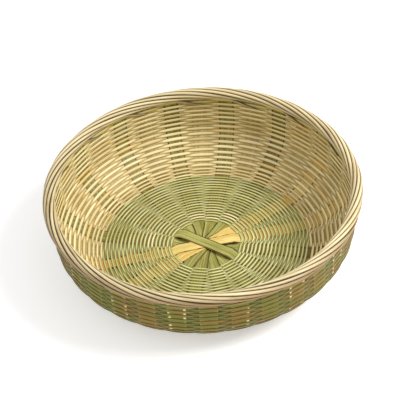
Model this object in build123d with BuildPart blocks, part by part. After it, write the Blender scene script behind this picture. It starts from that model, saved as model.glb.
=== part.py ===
"""A round bamboo winnowing basket: flat strips crossing at a hub, woven strands and a rolled rim.

Millimetres, +Z up. The origin is the middle of the underside, on which the basket stands.
"""

from build123d import *
import os
from math import cos, radians, sin

# The whole basket
RIM_OUTER_RADIUS = 180.0
RIM_TUBE_RADIUS = 7.5
INNER_DEPTH = 85.0  # from the woven floor up to the middle of the rim

# Flat strips: each runs from rim to rim and is two spokes of the floor and two stakes of the wall
MAIN_STRIPS = 8
STRIP_WIDTH = 14.6
STRIP_THICKNESS = 0.8
FIRST_SPOKE_DEG = 10.5

# The hub, where the strips are thinned, narrowed and stacked
HUB_ORDER = (7, 5, 4, 3, 2, 1, 0, 6)  # which strip lies on each layer, from the lowest
HUB_STRIP_WIDTH = 12.4
HUB_STRIP_THICKNESS = 0.6
HUB_LAYER = 0.62
HUB_FLAT_RADIUS = 32.0  # stacked inside this radius
HUB_RADIUS = 39.0  # side by side on one level outside this one

# Woven strands, in pairs whose turns alternate
STRAND_THICKNESS = 1.2
STRAND_GAP = 0.2
BASE_TURNS = (4, 4, 4, 3, 3)  # turns of each pair of strands, from the hub outwards
BASE_PITCH = 2.26
FOOT_TURNS = (3,)
FOOT_PITCH = 2.4
WALL_TURNS = (5, 5, 4)

# The wall's curve, from the flat floor to under the rim
CORNER_START = 118.5
CORNER_RADIUS = 38.0
FLANK_SLOPE_DEG = 42.0
FLANK_LENGTH = 23.4
SHOULDER_RADIUS = 28.0
WALL_SLOPE_DEG = 88.0

# The rim: rods twisted round a core
RODS = 16
ROD_RADIUS = 1.9
ROD_SIDES = 6
ROD_TURNS = 2
ROD_TURN_DEG = 101.25  # a rod goes once round the core in this much of the rim's circle
ROD_STEP_DEG = 7.5
ROD_START_DEG = 225.0  # below and inside the core
CORE_RADIUS = 3.0

CLEARANCE = 0.05

# Worked out from them
SPOKES = 2 * MAIN_STRIPS
STAKES = 2 * SPOKES
LIFT = (STRIP_THICKNESS + STRAND_THICKNESS) / 2 + CLEARANCE
MID_LEVEL = LIFT + STRAND_THICKNESS / 2
BASE_ROWS = 2 * sum(BASE_TURNS)
BASE_EDGE = HUB_RADIUS + CLEARANCE + BASE_ROWS * BASE_PITCH
RIM_LEVEL = 2 * MID_LEVEL + INNER_DEPTH
RIM_RADIUS = RIM_OUTER_RADIUS - RIM_TUBE_RADIUS
WALL_TOP = RIM_LEVEL - RIM_TUBE_RADIUS - CLEARANCE
ROD_RING_RADIUS = RIM_TUBE_RADIUS - ROD_RADIUS


def bowl_line():
    """Draws the middle of the wall's thickness, with the radius as X and the level as Y."""
    corner = JernArc((CORNER_START, MID_LEVEL), (1, 0), CORNER_RADIUS, FLANK_SLOPE_DEG)
    flank = Line(corner @ 1, corner @ 1 + (corner % 1) * FLANK_LENGTH)
    shoulder = JernArc(flank @ 1, flank % 1, SHOULDER_RADIUS, WALL_SLOPE_DEG - FLANK_SLOPE_DEG)
    rise = (WALL_TOP - STRIP_THICKNESS / 2 - (shoulder @ 1).Y) / sin(radians(WALL_SLOPE_DEG))
    Line(shoulder @ 1, shoulder @ 1 + (shoulder % 1) * rise)


with BuildLine() as bowl:
    bowl_line()
BOWL = bowl.wires()[0]
WALL_LENGTH = BOWL.length - (BASE_EDGE - CORNER_START)
FOOT_LENGTH = 2 * sum(FOOT_TURNS) * FOOT_PITCH
WALL_PITCH = (WALL_LENGTH - FOOT_LENGTH) / (2 * sum(WALL_TURNS))


def write(part, name):
    part.label = name
    export_step(part, f"parts/{name}.step")


def upright_plane(angle):
    """The vertical plane through the middle whose X points outwards at this angle."""
    out = (cos(radians(angle)), sin(radians(angle)), 0)
    return Plane(origin=(0, 0, 0), x_dir=out, z_dir=(out[1], -out[0], 0))


def main_strip(layer):
    """A strip that runs up one wall, across the hub on its own layer and up the other wall."""
    angle = FIRST_SPOKE_DEG + HUB_ORDER[layer] * 360 / SPOKES
    bottom = MID_LEVEL - STRIP_THICKNESS / 2
    hub_bottom = layer * HUB_LAYER
    with BuildPart() as strip:
        with BuildSketch(upright_plane(angle)):
            with BuildLine():
                bowl_line()
                Line((HUB_RADIUS, MID_LEVEL), (CORNER_START, MID_LEVEL))
                offset(amount=STRIP_THICKNESS / 2, side=Side.BOTH)
            make_face()
            with BuildLine():
                Polyline(
                    (0, hub_bottom),
                    (HUB_FLAT_RADIUS, hub_bottom),
                    (HUB_RADIUS, bottom),
                    (HUB_RADIUS, bottom + STRIP_THICKNESS),
                    (HUB_FLAT_RADIUS, hub_bottom + HUB_STRIP_THICKNESS),
                    (0, hub_bottom + HUB_STRIP_THICKNESS),
                    close=True,
                )
            make_face()
            mirror(about=Plane.YZ)
        extrude(amount=STRIP_WIDTH / 2, both=True)
        with BuildSketch(Plane.XY.rotated((0, 0, angle))):
            with BuildLine():
                Polyline(
                    (0, HUB_STRIP_WIDTH / 2),
                    (HUB_FLAT_RADIUS, HUB_STRIP_WIDTH / 2),
                    (HUB_RADIUS, STRIP_WIDTH / 2),
                    (RIM_OUTER_RADIUS, STRIP_WIDTH / 2),
                    (RIM_OUTER_RADIUS, 0),
                    (0, 0),
                    close=True,
                )
            make_face()
            mirror(about=Plane.YZ)
            mirror(about=Plane.XZ)
        extrude(amount=RIM_LEVEL, mode=Mode.INTERSECT)
    write(strip.part, f"main_strip_{layer + 1}")


def by_stake(number):
    """A shorter strip between two main ones, from the floor's edge to under the rim."""
    angle = FIRST_SPOKE_DEG + (number + 0.5) * 360 / SPOKES
    with BuildPart() as stake:
        with BuildSketch(upright_plane(angle)):
            with BuildLine():
                bowl_line()
                offset(amount=STRIP_THICKNESS / 2, side=Side.BOTH)
            make_face()
            with Locations((BASE_EDGE + CLEARANCE, 0)):
                Rectangle(BASE_EDGE, 2 * RIM_LEVEL, align=(Align.MAX, Align.CENTER), mode=Mode.SUBTRACT)
        extrude(amount=STRIP_WIDTH / 2, both=True)
    write(stake.part, f"by_stake_{number + 1:02d}")


def floor_place(row):
    """Radius, level and outward normal of a row of the floor, whose outer side is its underside."""
    return HUB_RADIUS + CLEARANCE + (row + 0.5) * BASE_PITCH, MID_LEVEL, (0, -1)


def bowl_place(along):
    """The same for a place on the wall, given its distance from the floor's edge."""
    reach = along + BASE_EDGE - CORNER_START
    point = BOWL.position_at(reach, position_mode=PositionMode.LENGTH)
    slope = BOWL.tangent_at(reach, position_mode=PositionMode.LENGTH)
    return point.X, point.Y, (slope.Y, -slope.X)


def foot_place(row):
    return bowl_place((row + 0.5) * FOOT_PITCH)


def wall_place(row):
    return bowl_place(FOOT_LENGTH + (row + 0.5) * WALL_PITCH)


def crossing(place, stake, stakes, phase, edge):
    """A strand's section at one edge of a stake, outside every second stake and inside the others."""
    radius, level, (out, down) = place
    angle = radians(FIRST_SPOKE_DEG + stake * 360 / stakes)
    outwards = Vector(cos(angle), sin(angle), 0)
    sideways = Vector(-outwards.Y, outwards.X, 0)
    normal = outwards * out + Vector(0, 0, down)
    lift = LIFT if (stake + phase) % 2 == 0 else -LIFT
    middle = outwards * radius + Vector(0, 0, level)
    origin = middle + normal * lift + sideways * (edge * STRIP_WIDTH / 2)
    return Plane(origin=origin, x_dir=normal, z_dir=sideways)


def strand(name, places, onward, stakes, phase, width):
    """One strand that takes a level turn in each place, and steps up before the first stake.

    It ends face to face with the strand that carries on from it, if there is one.
    """
    sections = [
        crossing(place, stake, stakes, phase, edge)
        for place in places
        for stake in range(stakes)
        for edge in (-1, 1)
    ]
    if onward:
        sections.append(crossing(onward, 0, stakes, phase, -1))
    with BuildPart() as woven:
        with BuildSketch(*sections):
            Rectangle(STRAND_THICKNESS, width)
        loft(ruled=True)
    write(woven.part, name)


def strand_pairs(name, turns, place_of, stakes, pitch):
    """Pairs of strands: one takes the even rows, the other the odd rows on the other sides."""
    row = 0
    for pair, count in enumerate(turns, start=1):
        after = row + 2 * count
        for phase, letter in enumerate("ab"):
            places = [place_of(n) for n in range(row + phase, after, 2)]
            onward = place_of(after + phase) if after < 2 * sum(turns) else None
            strand(f"{name}_{pair}{letter}", places, onward, stakes, phase, pitch - STRAND_GAP)
        row = after


def rod_section(step, start):
    """A rod's section in an upright plane through the basket's middle."""
    turned = step * ROD_STEP_DEG
    round_core = radians(ROD_START_DEG - turned * 360 / ROD_TURN_DEG)
    plane = upright_plane(start + turned)
    return plane.shift_origin(
        plane.from_local_coords(
            (
                RIM_RADIUS + ROD_RING_RADIUS * cos(round_core),
                RIM_LEVEL + ROD_RING_RADIUS * sin(round_core),
                0,
            )
        )
    )


def rim_rod(number):
    """A rod that goes twice round the core while it follows the rim for over half a circle."""
    start = FIRST_SPOKE_DEG + number * 360 / RODS
    steps = round(ROD_TURNS * ROD_TURN_DEG / ROD_STEP_DEG)
    with BuildPart() as rod:
        with BuildSketch(*[rod_section(step, start) for step in range(steps)]):
            RegularPolygon(ROD_RADIUS, ROD_SIDES)
        loft(ruled=True)
    write(rod.part, f"rim_rod_{number + 1:02d}")


def rim_core():
    with BuildPart() as core:
        with BuildSketch(Plane.XZ):
            with Locations((RIM_RADIUS, RIM_LEVEL)):
                Circle(CORE_RADIUS)
        revolve(axis=Axis.Z)
    write(core.part, "rim_core")


os.makedirs("parts", exist_ok=True)
for layer in range(MAIN_STRIPS):
    main_strip(layer)
for number in range(SPOKES):
    by_stake(number)
strand_pairs("base_strand", BASE_TURNS, floor_place, SPOKES, BASE_PITCH)
strand_pairs("foot_strand", FOOT_TURNS, foot_place, STAKES, FOOT_PITCH)
strand_pairs("wall_strand", WALL_TURNS, wall_place, STAKES, WALL_PITCH)
for number in range(RODS):
    rim_rod(number)
rim_core()
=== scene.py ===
"""The looks of a woven bamboo basket: split strands, flat strips and a rolled rim of round rods."""

import bpy
import bmesh
import random
from math import cos, pi, radians, sin, sqrt, tau
from mathutils import Matrix, Vector


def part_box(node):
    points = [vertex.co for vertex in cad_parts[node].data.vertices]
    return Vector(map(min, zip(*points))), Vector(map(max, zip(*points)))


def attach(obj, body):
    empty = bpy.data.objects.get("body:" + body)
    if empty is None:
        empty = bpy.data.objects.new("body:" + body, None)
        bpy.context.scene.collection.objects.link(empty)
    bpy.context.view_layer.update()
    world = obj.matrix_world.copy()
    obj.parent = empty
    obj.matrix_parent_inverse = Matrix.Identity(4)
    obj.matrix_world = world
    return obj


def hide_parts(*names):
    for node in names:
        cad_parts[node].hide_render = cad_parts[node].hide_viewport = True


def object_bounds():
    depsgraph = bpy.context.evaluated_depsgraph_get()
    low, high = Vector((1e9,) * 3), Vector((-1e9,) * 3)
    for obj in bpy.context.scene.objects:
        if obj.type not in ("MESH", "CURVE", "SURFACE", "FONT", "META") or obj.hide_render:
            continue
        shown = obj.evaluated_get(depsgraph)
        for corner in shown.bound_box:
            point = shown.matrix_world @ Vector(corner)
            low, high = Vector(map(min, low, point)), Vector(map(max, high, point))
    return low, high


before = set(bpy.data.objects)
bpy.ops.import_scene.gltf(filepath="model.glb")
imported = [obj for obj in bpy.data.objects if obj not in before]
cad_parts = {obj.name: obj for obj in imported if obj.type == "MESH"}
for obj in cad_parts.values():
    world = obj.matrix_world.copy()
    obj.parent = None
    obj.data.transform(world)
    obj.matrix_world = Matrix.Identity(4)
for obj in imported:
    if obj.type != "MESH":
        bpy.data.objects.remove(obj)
cad_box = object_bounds()

MM = 0.001

# Places read from the frame
core_low, core_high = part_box("rim_core")
CORE_RADIUS = (core_high.z - core_low.z) / 2
RIM_LEVEL = (core_high.z + core_low.z) / 2
RIM_RADIUS = core_high.x - CORE_RADIUS
TUBE_RADIUS = cad_box[1].z - RIM_LEVEL
FLOOR_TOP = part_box("base_strand_1a")[1].z
MID_LEVEL = FLOOR_TOP / 2

# The strips, of which the ends are the spokes, and the stakes, which are the spokes and the by-stakes
MAIN_STRIPS = 8
SPOKES = 2 * MAIN_STRIPS
STAKES = 2 * SPOKES
FIRST_SPOKE_DEG = 10.5
STRIP_THICKNESS = 0.56 * MM
STRIP_WIDTH = 14.6 * MM
BY_STAKE_WIDTH = 14.3 * MM
# Each margin widens a strip beyond its real width, and is painted shade inside the basket
STRIP_MARGIN = 1.8 * MM

# The hub, where the strips cross: each layer's place round it, from the lowest, and which are yellow
HUB_ORDER = (7, 5, 4, 3, 2, 1, 0, 6)
YELLOW_LAYERS = (5, 6)
HUB_LAYER = 0.62 * MM
HUB_FLAT_RADIUS = 32 * MM
HUB_RADIUS = 39 * MM
HUB_STRIP_WIDTH = 14.0 * MM

# The weave: the turns that each pair of strands makes, and the width of a row
STRAND_THICKNESS = 1.1 * MM
BASE_TURNS = (4, 4, 4, 3, 3)
BASE_PITCH = 2.26 * MM
FOOT_TURNS = (3,)
FOOT_PITCH = 2.4 * MM
WALL_TURNS = (5, 5, 4)
BASE_ROWS = 2 * sum(BASE_TURNS)
BASE_EDGE = HUB_RADIUS + BASE_ROWS * BASE_PITCH

# The wall's curve, from the flat floor up: a round corner, a straight flank, a round shoulder and a
# straight top
CORNER_START = 118.5 * MM
CORNER_RADIUS = 38 * MM
FLANK_SLOPE = radians(42)
FLANK_LENGTH = 23.4 * MM
SHOULDER_RADIUS = 28 * MM
WALL_SLOPE = radians(88)
WALL_TOP = RIM_LEVEL - TUBE_RADIUS
CORNER_LENGTH = CORNER_RADIUS * FLANK_SLOPE
SHOULDER_LENGTH = SHOULDER_RADIUS * (WALL_SLOPE - FLANK_SLOPE)
STRAIGHT_START = CORNER_LENGTH + FLANK_LENGTH + SHOULDER_LENGTH

# The rim: a rod goes once round the core in a rod turn's angle round the basket
RODS = SPOKES
ROD_RADIUS = 1.9 * MM
ROD_TURN_DEG = 101.25
ROD_TURNS = 2
ROD_START_DEG = 225.0
ROD_RING_RADIUS = TUBE_RADIUS - ROD_RADIUS

# How many stations a sweep takes at a time, and how near two points are joined
RUN_LENGTH = 40
JOIN_DISTANCE = 0.002 * MM

chance = random.Random(7)

# Each piece's fibres start at a random distance along the pattern, up to this
GRAIN_RANGE = 40


# ---------------------------------------------------------------- places

def polar(angle):
    """The level direction at an angle round the basket."""
    return Vector((cos(angle), sin(angle), 0))


def smooth(t):
    """From 0 to 1 without a corner at either end."""
    t = min(max(t, 0), 1)
    return t * t * (3 - 2 * t)


def bowl_place(reach):
    """Radius, level and slope of the middle of the wall, at a distance along it from the flat floor."""
    turned = min(max(reach, 0) / CORNER_RADIUS, FLANK_SLOPE)
    radius = CORNER_START + CORNER_RADIUS * sin(turned) + min(reach, 0)
    level = MID_LEVEL + CORNER_RADIUS * (1 - cos(turned))
    if reach <= CORNER_LENGTH:
        return radius, level, turned
    run = min(reach - CORNER_LENGTH, FLANK_LENGTH)
    radius += run * cos(FLANK_SLOPE)
    level += run * sin(FLANK_SLOPE)
    if reach <= CORNER_LENGTH + FLANK_LENGTH:
        return radius, level, FLANK_SLOPE
    slope = min(FLANK_SLOPE + (reach - CORNER_LENGTH - FLANK_LENGTH) / SHOULDER_RADIUS, WALL_SLOPE)
    radius += SHOULDER_RADIUS * (sin(slope) - sin(FLANK_SLOPE))
    level += SHOULDER_RADIUS * (cos(FLANK_SLOPE) - cos(slope))
    rest = max(reach - STRAIGHT_START, 0)
    return radius + rest * cos(slope), level + rest * sin(slope), slope


def reach_of_level(level):
    """The reach at which the wall's straight top comes to a level."""
    return STRAIGHT_START + (level - bowl_place(STRAIGHT_START)[1]) / sin(WALL_SLOPE)


WALL_REACH = reach_of_level(WALL_TOP)
FOOT_START = BASE_EDGE - CORNER_START
FOOT_LENGTH = 2 * sum(FOOT_TURNS) * FOOT_PITCH
WALL_ROWS = 2 * sum(WALL_TURNS)
WALL_PITCH = (WALL_REACH - FOOT_START - FOOT_LENGTH) / WALL_ROWS


# Radius, level and slope of a row's middle in each part of the weave, where row may be a fraction

def floor_row(row):
    return HUB_RADIUS + (row + 0.5) * BASE_PITCH, MID_LEVEL, 0.0


def foot_row(row):
    return bowl_place(FOOT_START + (row + 0.5) * FOOT_PITCH)


def wall_row(row):
    return bowl_place(FOOT_START + FOOT_LENGTH + (row + 0.5) * WALL_PITCH)


# ---------------------------------------------------------------- sweeping an outline

class Station:
    """Where a swept outline stands: its middle, its two axes and their half sizes, and its paint.

    along is the distance along the fibres and tone is from 0 to 1. lean is how far a strand leans out of
    the basket there, from -1 to 1, or how much the weave shades a strip, from 0 to 1.
    """

    def __init__(self, middle, wide, thick, half_width, half_thickness, along, tone, lean=0.0):
        self.matrix = Matrix.Translation(middle) @ Matrix(
            (wide * half_width, thick * half_thickness, wide.cross(thick))
        ).transposed().to_4x4()
        self.along = along
        self.tone = tone
        self.lean = lean


def round_outline(mesh, sides=8):
    """A closed ring of edges one unit in radius."""
    bmesh.ops.create_circle(mesh, segments=sides, radius=1)
    bmesh.ops.rotate(mesh, verts=mesh.verts, cent=(0, 0, 0), matrix=Matrix.Rotation(pi / sides, 3, "Z"))


def flat_outline(mesh):
    """A ring of edges round a flat strip, two units wide and thick, with its corners taken off."""
    bmesh.ops.create_grid(mesh, x_segments=3, y_segments=1, size=1)
    corners = [vert for vert in mesh.verts if len(vert.link_edges) == 2]
    bmesh.ops.bevel(
        mesh,
        geom=corners,
        offset=0.06,
        offset_type="OFFSET",
        segments=2,
        profile=0.5,
        affect="VERTICES",
        material=-1,
    )
    inner = [edge for edge in mesh.edges if not edge.is_boundary]
    bmesh.ops.delete(mesh, geom=inner, context="EDGES_FACES")
    bmesh.ops.delete(mesh, geom=mesh.faces[:], context="FACES_ONLY")


def new_mesh():
    """An empty mesh that can carry the grain's coordinates and each place's tone and lean."""
    mesh = bmesh.new()
    mesh.verts.layers.float_vector.new("grain")
    mesh.verts.layers.float.new("tone")
    mesh.verts.layers.float.new("lean")
    return mesh


def sweep_run(outline, stations, close_start, close_finish):
    """Carries an outline along some stations, and closes the ends that are to be closed."""
    mesh = new_mesh()
    grain = mesh.verts.layers.float_vector["grain"]
    tone = mesh.verts.layers.float["tone"]
    lean = mesh.verts.layers.float["lean"]
    outline(mesh)
    ring = mesh.verts[:]
    edges = mesh.edges[:]
    first = stations[0]
    half_width = first.matrix.col[0].length
    for vert in ring:
        vert[grain] = (first.along, vert.co.x * half_width, vert.co.y)
        vert[tone] = first.tone
        vert[lean] = first.lean
    bmesh.ops.transform(mesh, matrix=first.matrix, verts=ring)
    if close_start:
        bmesh.ops.edgeloop_fill(mesh, edges=edges)
    here = first.matrix
    for station in stations[1:]:
        made = bmesh.ops.extrude_edge_only(mesh, edges=edges)["geom"]
        ring = [item for item in made if isinstance(item, bmesh.types.BMVert)]
        fresh = set(ring)
        edges = [
            item
            for item in made
            if isinstance(item, bmesh.types.BMEdge) and item.verts[0] in fresh and item.verts[1] in fresh
        ]
        bmesh.ops.transform(mesh, matrix=station.matrix @ here.inverted(), verts=ring)
        here = station.matrix
        for vert in ring:
            vert[grain] = (station.along, vert[grain].y, vert[grain].z)
            vert[tone] = station.tone
            vert[lean] = station.lean
    if close_finish:
        bmesh.ops.edgeloop_fill(mesh, edges=edges)
    return mesh


def sweep(outline, stations):
    """Carries an outline along the stations, in short runs that are then joined, and closes both ends."""
    mesh = new_mesh()
    spare = bpy.data.meshes.new("spare")
    last = len(stations) - 1
    for start in range(0, last, RUN_LENGTH):
        stop = min(start + RUN_LENGTH, last)
        run = sweep_run(outline, stations[start : stop + 1], start == 0, stop == last)
        run.to_mesh(spare)
        run.free()
        mesh.from_mesh(spare)
    bpy.data.meshes.remove(spare)
    bmesh.ops.remove_doubles(mesh, verts=mesh.verts, dist=JOIN_DISTANCE)
    return mesh


def piece(name, node, finish, outline, stations):
    """One piece of the basket, swept along its stations, which stands for a solid."""
    mesh = sweep(outline, stations)
    bmesh.ops.recalc_face_normals(mesh, faces=mesh.faces)
    for face in mesh.faces:
        face.smooth = True
    data = bpy.data.meshes.new(name)
    mesh.to_mesh(data)
    mesh.free()
    data.materials.append(finish)
    made = bpy.data.objects.new(name, data)
    bpy.context.scene.collection.objects.link(made)
    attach(made, "root")
    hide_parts(node)


# ---------------------------------------------------------------- materials

def colour(red, green, blue):
    """A colour as a screen shows it, from 0 to 255, as the renderer's linear values."""
    linear = [((part / 255 + 0.055) / 1.055) ** 2.4 for part in (red, green, blue)]
    return (*linear, 1)


STRAW = colour(251, 237, 184)
STRAW_DARK = colour(233, 212, 148)
OCHRE = colour(180, 146, 70)
TAN = colour(228, 196, 128)
AMBER = colour(196, 144, 60)
OLIVE = colour(110, 114, 24)
OLIVE_BROWN = colour(136, 106, 32)
COPPER = colour(138, 116, 40)
UMBER = colour(66, 52, 20)
SHADE_GREEN = colour(82, 80, 20)
SAGE = colour(226, 228, 158)
SAGE_DARK = colour(203, 204, 127)
MOSS = colour(112, 84, 32)
PEAR = colour(214, 206, 112)
GREEN = colour(176, 174, 98)
GREEN_DARK = colour(150, 146, 68)
GREEN_LINE = colour(98, 92, 36)
YELLOW = colour(234, 214, 132)
YELLOW_DARK = colour(218, 192, 104)
YELLOW_LINE = colour(208, 150, 70)
PALE = colour(228, 206, 138)
PALE_DARK = colour(208, 180, 108)
PALE_LINE = colour(176, 136, 66)
CREAM = colour(244, 229, 184)
CREAM_DARK = colour(222, 199, 146)
CHESTNUT = colour(146, 108, 60)
BARK = colour(128, 96, 56)
BARK_DARK = colour(90, 64, 36)
BARK_LINE = colour(70, 48, 26)
BLACK = (0, 0, 0, 1)
WHITE = (1, 1, 1, 1)


class Signal:
    """A shader socket that takes part in Python sums."""

    def __init__(self, finish, socket):
        self.finish = finish
        self.socket = socket

    def sum(self, operation, *values):
        made = self.finish.add("ShaderNodeMath", {"operation": operation}, dict(enumerate(values)))
        return Signal(self.finish, made.outputs[0])

    def __add__(self, other):
        return self.sum("ADD", self, other)

    def __sub__(self, other):
        return self.sum("SUBTRACT", self, other)

    def __rsub__(self, other):
        return self.sum("SUBTRACT", other, self)

    def __mul__(self, other):
        return self.sum("MULTIPLY", self, other)

    def size(self):
        return self.sum("ABSOLUTE", self)

    def to_power(self, other):
        return self.sum("POWER", self, other)

    __radd__ = __add__
    __rmul__ = __mul__


class Finish:
    """A material under construction."""

    def __init__(self, name):
        self.material = bpy.data.materials.new(name)
        self.material.use_nodes = True
        self.nodes = self.material.node_tree.nodes
        self.links = self.material.node_tree.links
        self.shader = self.nodes["Principled BSDF"]

    def add(self, kind, settings=None, values=None):
        """Adds a node: its settings first, then a value or a link for each named or numbered socket."""
        node = self.nodes.new(kind)
        for key, value in (settings or {}).items():
            setattr(node, key, value)
        self.fill(node, values or {})
        return node

    def fill(self, node, values):
        for key, value in values.items():
            if isinstance(value, Signal):
                self.links.new(value.socket, node.inputs[key])
            else:
                node.inputs[key].default_value = value

    def signal(self, node, output=0):
        return Signal(self, node.outputs[output])

    def attribute(self, name, output):
        return self.signal(self.add("ShaderNodeAttribute", {"attribute_name": name}), output)

    def place(self):
        return self.signal(self.add("ShaderNodeTexCoord"), "Object")

    def level(self):
        return self.signal(self.add("ShaderNodeSeparateXYZ", None, {0: self.place()}), 2)

    def reach(self):
        """How far a place is from the basket's upright middle line."""
        parts = self.add("ShaderNodeSeparateXYZ", None, {0: self.place()})
        x = self.signal(parts, 0)
        y = self.signal(parts, 1)
        return (x * x + y * y).to_power(0.5)

    def vector(self, x, y, z):
        return self.signal(self.add("ShaderNodeCombineXYZ", None, {0: x, 1: y, 2: z}))

    def noise(self, place, scale, detail=3.0):
        values = {"Vector": place, "Scale": scale, "Detail": detail, "Roughness": 0.55}
        return self.signal(self.add("ShaderNodeTexNoise", None, values))

    def between(self, value, low, high, start=0.0, end=1.0):
        """Maps low..high to start..end, smoothly and clamped."""
        values = {0: value, 1: low, 2: high, 3: start, 4: end}
        return self.signal(self.add("ShaderNodeMapRange", {"interpolation_type": "SMOOTHSTEP"}, values))

    def mix(self, share, first, second, blend="MIX"):
        settings = {"data_type": "RGBA", "blend_type": blend, "clamp_factor": True}
        return self.signal(self.add("ShaderNodeMix", settings, {0: share, 6: first, 7: second}), 2)

    def finish(self, base, rough, height, depth, gloss):
        """Joins everything to the shader; the height's bumps are this deep, in metres."""
        bump = self.add("ShaderNodeBump", None, {"Height": height, "Distance": depth, "Strength": 0.7})
        self.fill(
            self.shader,
            {
                "Base Color": base,
                "Roughness": rough,
                "Normal": self.signal(bump),
                "Coat Weight": gloss,
                "Coat Roughness": 0.3,
                "Specular IOR Level": 0.3,
            },
        )
        return self.material


def grain_of(make):
    """Along the fibres, across them, how far out of the basket the side faces, and the place's tone."""
    parts = make.add("ShaderNodeSeparateXYZ", None, {0: make.attribute("grain", "Vector")})
    along, across, out = (make.signal(parts, i) for i in range(3))
    return along, across, out, make.attribute("tone", "Fac")


def fibre_noise(make, grain, along_scale, across_scale, tone_scale):
    """Noise drawn out along the fibres, which changes with the tone."""
    along, across, _, tone = grain
    place = make.vector(along * along_scale, across * across_scale, tone * tone_scale)
    return make.noise(place, 1.0, 2.0)


def shaded(make, base, *shades):
    """A colour times some shades of grey, a little warmer where darker."""
    shade = shades[0]
    for more in shades[1:]:
        shade = shade * more
    warm = make.vector(shade, shade * (0.97 + shade * 0.03), shade * (0.9 + shade * 0.1))
    return make.mix(1.0, base, warm, "MULTIPLY")


def strand_bamboo(name, skin, flesh, fleck, skin_side, width, top=None):
    """A woven strand: skin on one side and the paler wood inside on the other.

    skin and flesh are each a light colour, a dark one, and one painted in as shade on the edges, along the
    lower edge and where the strand dips behind its neighbours. skin_side is 1 where the skin faces out of the
    basket, -1 where it faces in.
    fleck is the colour of a few stretches seen from inside the basket, and top tints the highest rows.
    The outside is painted darker low down, as shade.
    """
    make = Finish(name)
    grain = grain_of(make)
    _, across, out, tone = grain
    fibres = fibre_noise(make, grain, 55, 2300, 9)
    streaks = fibre_noise(make, grain, 14, 420, 5)
    stains = fibre_noise(make, grain, 24, 60, 4)
    patches = make.noise(make.place(), 26.0, 2.0)
    side = make.between(out * skin_side, -0.4, 0.3)
    skin_colour = make.mix(make.between(stains + patches, 0.84, 1.14), skin[1], skin[0])
    flesh_colour = make.mix(make.between(streaks + tone * 0.3, 0.4, 0.8), flesh[1], flesh[0])
    base = make.mix(side, flesh_colour, skin_colour)
    inside = make.between(out, -0.3, 0.3, 0.8, 0.0)
    base = make.mix(make.between(tone, 0.86, 0.92) * inside, base, fleck)
    if top:
        high = make.between(make.level(), TOP_TINT_LOW, TOP_TINT_HIGH)
        base = make.mix(high * make.between(out, -0.3, 0.3, 0.7, 0.2), base, top)
    # Painted shade: darker where the strand dips behind its neighbours, along its lower edge and at its edges
    proud = make.attribute("lean", "Fac") * out
    dip = make.between(proud, -0.5, 0.45, 0.6, 0.0)
    lower = make.between(across * (2 / width), -1.0, -0.1, 0.7, 0.0)
    edge = make.between(out.size(), 0.35, 0.7, 0.7, 0.0)
    shadow = make.mix(side, flesh[2], skin[2])
    for share in (dip, lower, edge):
        base = make.mix(share, base, shadow)
    # Painted shade again: the edges and the sunk places darker
    dark = make.between(out.size() + proud * 0.4, 0.0, 0.8, 0.5, 1.0)
    streaked = make.between(fibres, 0.25, 0.75, 0.86, 1.06)
    toned = make.between(tone, 0, 1, 0.86, 1.08)
    # Painted shade on the outside of the basket, low down
    under = make.between(make.level(), 6 * MM, 50 * MM, 0.3, 0.0) * make.between(out, -0.1, 0.3)
    base = shaded(make, base, dark, streaked, toned, 1 - under)
    rough = make.between(streaks, 0.3, 0.7, 0.4, 0.58)
    return make.finish(base, rough, fibres, 0.12 * MM, 0.1)


def strip_bamboo(name, light, dark, line, lines, shadow):
    """A broad flat strip: fibres and lines along it, copper outside, lighter low in the basket.

    lines is how strong the lines are. The shadow is that of the weave on the strip, painted in patches. Its
    margins, beside the weave, are painted shade inside the basket and pale outside it.
    """
    make = Finish(name)
    grain = grain_of(make)
    along, across, out, tone = grain
    fibres = fibre_noise(make, grain, 55, 2300, 9)
    stains = fibre_noise(make, grain, 24, 160, 4)
    base = make.mix(make.between(stains, 0.36, 0.62), dark, light)
    grooves = make.noise(make.vector(along * 3, across * 520, tone * 20), 1.0, 1.0)
    groove = make.between((grooves - 0.5).size(), 0.01, 0.08, 1.0, 0.0)
    base = make.mix(groove * lines, base, line)
    # Painted shade of the weave on the strip, stronger in some patches than in others
    patchy_shade = make.between(make.noise(make.place(), 24.0), 0.36, 0.62, 0.35, 0.8)
    base = make.mix(make.attribute("lean", "Fac") * patchy_shade, base, shadow)
    outside = make.between(out, -0.2, 0.2)
    base = make.mix(outside, base, COPPER)
    # The margins stand for the gaps beside the strip: painted shade inside the basket, pale outside it
    half = STRIP_WIDTH / 2
    margin = make.between(across.size(), half - 0.5 * MM, half + 0.1 * MM)
    bits = make.between(make.noise(make.place(), 90.0), 0.46, 0.56)
    shade_bits = make.mix(bits, shadow, UMBER)
    pale_bits = make.mix(bits, COPPER, STRAW_DARK)
    base = make.mix(margin, base, make.mix(outside, shade_bits, pale_bits))
    low = make.between(make.level(), 4 * MM, 20 * MM, 1.16, 1.0)
    streaked = make.between(fibres, 0.25, 0.75, 0.86, 1.06)
    base = shaded(make, base, low, streaked, make.between(tone, 0, 1, 0.9, 1.08))
    rough = make.between(stains, 0.3, 0.7, 0.4, 0.58)
    return make.finish(base, rough, fibres - groove * 1.5, 0.12 * MM, 0.1)


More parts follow.
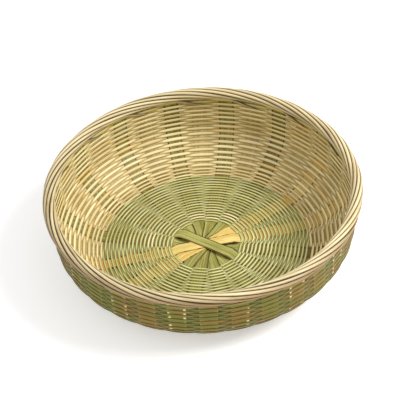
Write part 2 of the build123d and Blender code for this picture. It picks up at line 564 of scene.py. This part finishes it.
def rod_bamboo(name, light, dark, brown):
    """Round rods of inner bamboo: pale, smooth and faintly streaked.

    They are painted browner and darker where they meet and under the outside of the rim, as shade.
    """
    make = Finish(name)
    along, across, out, tone = grain_of(make)
    fibres = make.noise(make.vector(along * 40, across * 1500, out * 2.6 + tone * 9), 1.0, 2.0)
    stains = make.noise(make.vector(along * 16, across * 60, tone * 7), 1.0, 3.0)
    base = make.mix(make.between(fibres, 0.3, 0.66), dark, light)
    base = make.mix(make.between(stains, 0.55, 0.75, 0.0, 0.5), base, brown)
    # Painted shade, brown, where the rods meet
    base = make.mix(make.between(out, 0.2, 0.95, SEAM_SHADE, 0.0), base, brown)
    # Painted shade, brown, under the outside of the rim
    reach = make.reach()
    inward = make.level() - reach + (RIM_RADIUS - RIM_LEVEL)
    outside = make.between(reach, RIM_RADIUS - 3 * MM, RIM_RADIUS + 1 * MM)
    base = make.mix(outside * make.between(inward, -8 * MM, 4 * MM, 0.8, 0.0), base, brown)
    # Painted shade, darker where the rods meet
    seams = make.between(out, 0.1, 0.8, 1 - SEAM_SHADE, 1.0)
    base = shaded(make, base, seams, make.between(tone, 0, 1, 0.84, 1.08))
    rough = make.between(stains, 0.3, 0.7, 0.36, 0.52)
    return make.finish(base, rough, fibres, 0.1 * MM, 0.15)


# Between these levels the wall's colour turns to that of its highest rows
TOP_TINT_LOW = WALL_TOP - 9 * MM
TOP_TINT_HIGH = WALL_TOP - 4 * MM

# How dark and brown the painted shade in the seams between rods is
SEAM_SHADE = 0.65

GREEN_SKIN = (OLIVE, OLIVE_BROWN, SHADE_GREEN)
SAGE_SKIN = (SAGE, SAGE_DARK, MOSS)
STRAW_FLESH = (STRAW, STRAW_DARK, OCHRE)

wall_finish = strand_bamboo("straw_wall_strand", GREEN_SKIN, STRAW_FLESH, TAN, 1, WALL_PITCH, PEAR)
foot_finish = strand_bamboo("straw_foot_strand", GREEN_SKIN, STRAW_FLESH, TAN, 1, FOOT_PITCH)
base_finish = strand_bamboo("green_floor_strand", SAGE_SKIN, STRAW_FLESH, STRAW, -1, BASE_PITCH)
green_finish = strip_bamboo("green_strip", GREEN, GREEN_DARK, GREEN_LINE, 0.7, MOSS)
yellow_finish = strip_bamboo("yellow_strip", YELLOW, YELLOW_DARK, YELLOW_LINE, 0.5, AMBER)
pale_finish = strip_bamboo("pale_stake", PALE, PALE_DARK, PALE_LINE, 0.5, MOSS)
rod_finish = rod_bamboo("pale_rim_rod", CREAM, CREAM_DARK, CHESTNUT)
core_finish = rod_bamboo("brown_rim_core", BARK, BARK_DARK, BARK_LINE)


# ---------------------------------------------------------------- strands

class Wander:
    """A smooth, seeded wandering about nought that comes back to its start after a full circle."""

    def __init__(self, size, waves=(1, 2, 3, 5, 7, 11)):
        self.terms = [(size * chance.gauss(0, 1) / sqrt(len(waves)), n, chance.random() * tau) for n in waves]

    def at(self, angle):
        return sum(size * sin(n * angle + start) for size, n, start in self.terms)


# A cell goes from mid-gap to mid-gap, with a stake in its middle. A strand's stations, as shares of a cell
CELL_STEPS = (0.0, 0.07, 0.15, 0.23, 0.33, 0.5, 0.67, 0.77, 0.85, 0.93)

# The share of a cell in which a strand steps up a row, on each side of the gap before the first stake
STEP_UP = 0.27

# A strand's swing in and out at a stake, as a share of a strip's and a strand's thickness together, and how
# blunt the swing is, where 1 is a sine
STRAND_SWING = 0.4
SWING_POWER = 0.75

# A strand's half width, as a share of its row's pitch, and its half thickness, as a share of the whole, in
# the gap between stakes, and how much more they are at a stake
GAP_WIDTH = 0.56
MORE_WIDTH = 0.1
GAP_THICKNESS = 0.47
MORE_THICKNESS = 0.07

# How uneven the strands are: their waver and their bow at a stake in pitches, their width's long and short
# changes as shares of it, and their tone from stake to stake
WAVER = 0.03
BOW = 0.04
LONG_CHANGE = 0.03
SHORT_CHANGE = 0.04
TONE_CHANGE = 0.2

# The strand that goes on for one more turn, behind the rim, and the one that starts a stake early, so that
# no hole is left beside its first stake
LONG_STRAND = "wall_strand_3a"
EARLY_STRAND = "foot_strand_1b"


def cell_places(rows, stakes, early):
    """Every station of a strand: its row, its stake and its share of the cell, with one more at its end."""
    if early:
        for step in CELL_STEPS:
            yield rows[0] - 2, stakes - 1, step
    for row in rows:
        for stake in range(stakes):
            for step in CELL_STEPS:
                yield row, stake, step
    yield rows[-1], stakes - 1, 1.0


def strand_stations(rows, row_place, stakes, phase, pitch, early):
    """One strand through its turns: outside every second stake, inside the others."""
    swing = STRAND_SWING * (STRIP_THICKNESS + STRAND_THICKNESS)
    cell = tau / stakes
    waver = Wander(WAVER * pitch)
    bulk = Wander(LONG_CHANGE)
    strand_tone = chance.uniform(0.3, 0.7)
    stations = []
    along = chance.random() * GRAIN_RANGE
    for row, stake, step in cell_places(rows, stakes, early):
        if step == 0:
            tone = min(max(strand_tone + chance.gauss(0, TONE_CHANGE), 0), 1)
            bow = chance.gauss(0, BOW) * pitch
            swell = chance.gauss(0, SHORT_CHANGE)
        angle = radians(FIRST_SPOKE_DEG) + (stake + step - 0.5) * cell
        at = row
        if stake == 0:
            at += smooth(step / STEP_UP) - 1
        if stake == stakes - 1:
            at += smooth((step - 1 + STEP_UP) / STEP_UP)
        over = max(sin(pi * step), 0) ** SWING_POWER
        sign = 1 if (stake + phase) % 2 == 0 else -1
        radius, level, slope = row_place(at)
        outwards = polar(angle)
        wide = outwards * cos(slope) + Vector((0, 0, sin(slope)))
        thick = outwards * sin(slope) - Vector((0, 0, cos(slope)))
        middle = outwards * radius + Vector((0, 0, level))
        lean = sign * over
        middle += thick * swing * lean + wide * (waver.at(angle) + bow * over)
        half_width = pitch * (GAP_WIDTH + MORE_WIDTH * over) * (1 + bulk.at(angle) + swell * over)
        half_thickness = STRAND_THICKNESS * (GAP_THICKNESS + MORE_THICKNESS * over)
        stations.append(Station(middle, wide, thick, half_width, half_thickness, along, tone, lean))
        along += radius * cell / len(CELL_STEPS)
    return stations


def strand_pairs(family, turns, row_place, stakes, pitch, finish):
    """All the pairs of one part of the weave, each strand of a pair on every second row."""
    row = 0
    for pair, count in enumerate(turns, start=1):
        after = row + 2 * count
        for phase, letter in enumerate("ab"):
            node = f"{family}_{pair}{letter}"
            rows = range(row + phase, after + (node == LONG_STRAND), 2)
            stations = strand_stations(rows, row_place, stakes, phase, pitch, node == EARLY_STRAND)
            piece(f"split_{node}", node, finish, round_outline, stations)
        row = after


# ---------------------------------------------------------------- strips and stakes

# How uneven a strip's width is, and how fast it changes, in radians of wandering to the metre
WIDTH_CHANGE = 0.25 * MM
MAIN_WANDER = 30
BY_STAKE_WANDER = 40

# How far a strip's top goes up inside the rim
INTO_RIM = 4 * MM

# Where a main strip starts to broaden from its width in the hub, and where its margins start and how far
# they take to grow
BROAD_START = 0.8 * HUB_FLAT_RADIUS
MARGIN_START = 0.74 * HUB_FLAT_RADIUS
MARGIN_RUN = 0.8 * HUB_FLAT_RADIUS


def strip_station(out, sideways, radius, level, slope, width, along, tone):
    """A flat strip's station, whose thickness points out of the basket.

    The weave shades the strip outside the hub, and half as much up the wall.
    """
    thick = out * sin(slope) - Vector((0, 0, cos(slope)))
    middle = out * radius + Vector((0, 0, level))
    woven = smooth((radius - HUB_RADIUS) / (4 * MM))
    shade = woven * (1 - 0.5 * smooth((level - MID_LEVEL) / (12 * MM)))
    return Station(middle, sideways, thick, width / 2, STRIP_THICKNESS / 2, along, tone, shade)


def wall_stations(out, sideways, start, width_at, along, sign, tone, steps=30):
    """Up the wall from a reach to inside the rim, where along grows or falls by the sign."""
    top = WALL_REACH + INTO_RIM
    made = []
    for step in range(steps + 1):
        reach = start + (top - start) * step / steps
        radius, level, slope = bowl_place(reach)
        here = along + sign * reach
        made.append(strip_station(out, sideways, radius, level, slope, width_at(reach), here, tone))
    return made


def wall_margins(reach):
    """Both margins of a strip together, painted shade in the gaps beside it, which grow up the wall, where
    the gaps are wider.
    """
    return 2 * STRIP_MARGIN * (1 + 0.5 * smooth((reach - 0.5 * WALL_REACH) / (0.4 * WALL_REACH)))


def hub_width(radius):
    """A main strip's width at a radius of the hub or the floor."""
    broad = smooth((radius - BROAD_START) / (HUB_RADIUS - BROAD_START))
    margins = 2 * STRIP_MARGIN * smooth((radius - MARGIN_START) / MARGIN_RUN)
    return HUB_STRIP_WIDTH + (STRIP_WIDTH - HUB_STRIP_WIDTH) * broad + margins


def main_strip(layer):
    """From rim to rim across the hub."""
    angle = radians(FIRST_SPOKE_DEG + HUB_ORDER[layer] * 360 / SPOKES)
    hub_level = (layer + 0.5) * HUB_LAYER
    tone = chance.uniform(0.25, 0.8)
    start = chance.random() * GRAIN_RANGE
    wander = Wander(WIDTH_CHANGE)
    sideways = polar(angle + pi / 2)
    places = [(0, hub_level), (0.5 * HUB_FLAT_RADIUS, hub_level), (HUB_FLAT_RADIUS, hub_level)]
    places += [(HUB_RADIUS + (CORNER_START - HUB_RADIUS) * n / 10, MID_LEVEL) for n in range(10)]

    def half(sign):
        """From the middle to one end, where sign is 1 or -1."""

        def width_at(reach):
            wandered = wander.at(sign * (reach + CORNER_START) * MAIN_WANDER)
            return STRIP_WIDTH + wall_margins(reach) + wandered

        out = sign * polar(angle)
        made = []
        for radius, level in places:
            width = hub_width(radius) + wander.at(sign * radius * MAIN_WANDER)
            along = start + sign * radius
            made.append(strip_station(out, sideways, radius, level, 0, width, along, tone))
        corner = start + sign * CORNER_START
        return made + wall_stations(out, sideways, 0, width_at, corner, sign, tone)

    stations = half(-1)[:0:-1] + half(1)
    yellow = layer in YELLOW_LAYERS
    node = f"main_strip_{layer + 1}"
    slot, finish = ("strip_yellow", yellow_finish) if yellow else ("strip_green", green_finish)
    piece(f"split_{node}", node, finish, flat_outline, stations)


def by_stake(number):
    """From under the first narrow rows to inside the rim."""
    angle = radians(FIRST_SPOKE_DEG + (number + 0.5) * 360 / SPOKES)
    wander = Wander(WIDTH_CHANGE)

    def width_at(reach):
        margins = wall_margins(reach) * smooth((reach - FOOT_START) / (16 * MM))
        return BY_STAKE_WIDTH + margins + wander.at(reach * BY_STAKE_WANDER)

    start = chance.random() * GRAIN_RANGE
    tone = chance.random()
    stations = wall_stations(polar(angle), polar(angle + pi / 2), FOOT_START, width_at, start, 1, tone)
    node = f"by_stake_{number + 1:02d}"
    piece(f"split_{node}", node, pale_finish, flat_outline, stations)


# ---------------------------------------------------------------- rim

# How far round the basket a rod climbs from the wall, stops short of its full turns, and tapers
ROD_CLIMB = radians(13)
ROD_SHORT = radians(11)
ROD_TAPER = radians(32)

# How far below the wall's top a rod starts and how far inside the wall, and its size there and at its end
TAIL_DEPTH = 7 * MM
TAIL_INSET = 2.6 * MM
TAIL_SIZE = 0.45
END_SIZE = 0.3

ROD_STEPS = 76


def rod_outline(mesh):
    round_outline(mesh, 10)


def rim_rod(number):
    """A tail that climbs from the wall, then two turns round the core to a thin end outside."""
    start = radians(FIRST_SPOKE_DEG + number * 360 / RODS)
    finish = radians(ROD_TURNS * ROD_TURN_DEG) - ROD_SHORT
    full = ROD_RADIUS * chance.uniform(0.9, 1.06)
    wobble = Wander(0.16 * MM)
    sway = Wander(0.035)
    tone = chance.random()
    grain_start = chance.random() * GRAIN_RANGE
    wall_radius, wall_level, _ = bowl_place(WALL_REACH - TAIL_DEPTH)
    wall_middle = Vector((wall_radius - TAIL_INSET, 0, wall_level))
    stations = []
    for step in range(ROD_STEPS + 1):
        turned = -ROD_CLIMB + (finish + ROD_CLIMB) * step / ROD_STEPS
        angle = start + turned
        climb = smooth((turned + ROD_CLIMB) / ROD_CLIMB)
        round_core = radians(ROD_START_DEG) - max(turned, 0) * 360 / ROD_TURN_DEG + sway.at(angle) * climb
        ring = ROD_RING_RADIUS + wobble.at(angle)
        rod_middle = Vector((RIM_RADIUS + ring * cos(round_core), 0, RIM_LEVEL + ring * sin(round_core)))
        where = wall_middle.lerp(rod_middle, climb)
        taper = smooth((finish - turned) / ROD_TAPER)
        size = full * (TAIL_SIZE + (1 - TAIL_SIZE) * climb) * (END_SIZE + (1 - END_SIZE) * taper)
        outwards = polar(angle)
        middle = outwards * where.x + Vector((0, 0, where.z))
        thick = outwards * cos(round_core) + Vector((0, 0, sin(round_core)))
        wide = outwards * sin(round_core) - Vector((0, 0, cos(round_core)))
        along = grain_start + angle * RIM_RADIUS
        stations.append(Station(middle, wide, thick, size, size, along, tone))
    node = f"rim_rod_{number + 1:02d}"
    piece(f"round_{node}", node, rod_finish, rod_outline, stations)


# ---------------------------------------------------------------- stage

# The camera looks from the front and above, a little turned about its own axes
CAMERA_DISTANCE = 1.8
CAMERA_ELEVATION = radians(43.97)
CAMERA_ROLL = radians(3.86)
AIM_UP = radians(1.61)
AIM_LEFT = radians(0.22)
LENS = 139.8
SENSOR_WIDTH = 36

FLOOR_HALF_WIDTH = 4
FLOOR_WHITE = (0.92, 0.92, 0.92, 1)
# The floor's painted shadow under the basket
FLOOR_SHADOW = (0.02, 0.02, 0.01, 1)
FLOOR_GLOW = 0.4
SKY_STRENGTH = 0.56


def camera():
    data = bpy.data.cameras.new("camera")
    data.lens = LENS
    data.sensor_width = SENSOR_WIDTH
    data.clip_end = 20
    made = bpy.data.objects.new("camera", data)
    bpy.context.scene.collection.objects.link(made)
    back = Vector((0, -cos(CAMERA_ELEVATION), sin(CAMERA_ELEVATION)))
    turn = back.to_track_quat("Z", "Y").to_matrix().to_4x4()
    aim = Matrix.Rotation(AIM_LEFT, 4, "Y") @ Matrix.Rotation(AIM_UP, 4, "X")
    roll = Matrix.Rotation(-CAMERA_ROLL, 4, "Z")
    place = Matrix.Translation(back * CAMERA_DISTANCE + Vector((0, 0, FLOOR_TOP)))
    made.matrix_world = place @ turn @ roll @ aim
    bpy.context.scene.camera = made


def floor():
    """A white floor that glows a little, with a painted shadow of black where the basket covers it."""
    mesh = bmesh.new()
    bmesh.ops.create_grid(mesh, x_segments=1, y_segments=1, size=FLOOR_HALF_WIDTH)
    data = bpy.data.meshes.new("floor")
    mesh.to_mesh(data)
    mesh.free()
    make = Finish("white_floor")
    # Painted shadow under the basket: black and without glow
    open_air = make.between(make.reach(), CORNER_START - 8 * MM, CORNER_START)
    base = make.mix(open_air, FLOOR_SHADOW, FLOOR_WHITE)
    glow = make.mix(open_air, BLACK, WHITE)
    make.fill(make.shader, {"Base Color": base, "Roughness": 0.9})
    make.fill(make.shader, {"Emission Color": glow, "Emission Strength": FLOOR_GLOW})
    data.materials.append(make.material)
    made = bpy.data.objects.new("floor", data)
    bpy.context.scene.collection.objects.link(made)


def soft_light(name, place, size, power):
    """A round lamp that faces the middle of the basket's floor."""
    data = bpy.data.lights.new(name, "AREA")
    data.shape = "DISK"
    data.size = size
    data.energy = power
    made = bpy.data.objects.new(name, data)
    turn = Vector(place).to_track_quat("Z", "Y").to_matrix().to_4x4()
    made.matrix_world = Matrix.Translation(place) @ turn
    bpy.context.scene.collection.objects.link(made)


def sky():
    world = bpy.data.worlds.new("studio")
    world.use_nodes = True
    background = world.node_tree.nodes["Background"]
    background.inputs["Color"].default_value = WHITE
    background.inputs["Strength"].default_value = SKY_STRENGTH
    bpy.context.scene.world = world


camera()
floor()
sky()
soft_light("key", (1.35, -0.15, 1.5), 1.1, 35)
soft_light("fill", (-1.4, -0.9, 1.6), 1.6, 7)
bpy.context.scene.view_settings.view_transform = "Standard"

for layer in range(MAIN_STRIPS):
    main_strip(layer)
for number in range(SPOKES):
    by_stake(number)
strand_pairs("base_strand", BASE_TURNS, floor_row, SPOKES, BASE_PITCH, base_finish)
strand_pairs("foot_strand", FOOT_TURNS, foot_row, STAKES, FOOT_PITCH, foot_finish)
strand_pairs("wall_strand", WALL_TURNS, wall_row, STAKES, WALL_PITCH, wall_finish)
for number in range(RODS):
    rim_rod(number)
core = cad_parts["rim_core"]
for material_slot in core.material_slots:
    material_slot.material = core_finish
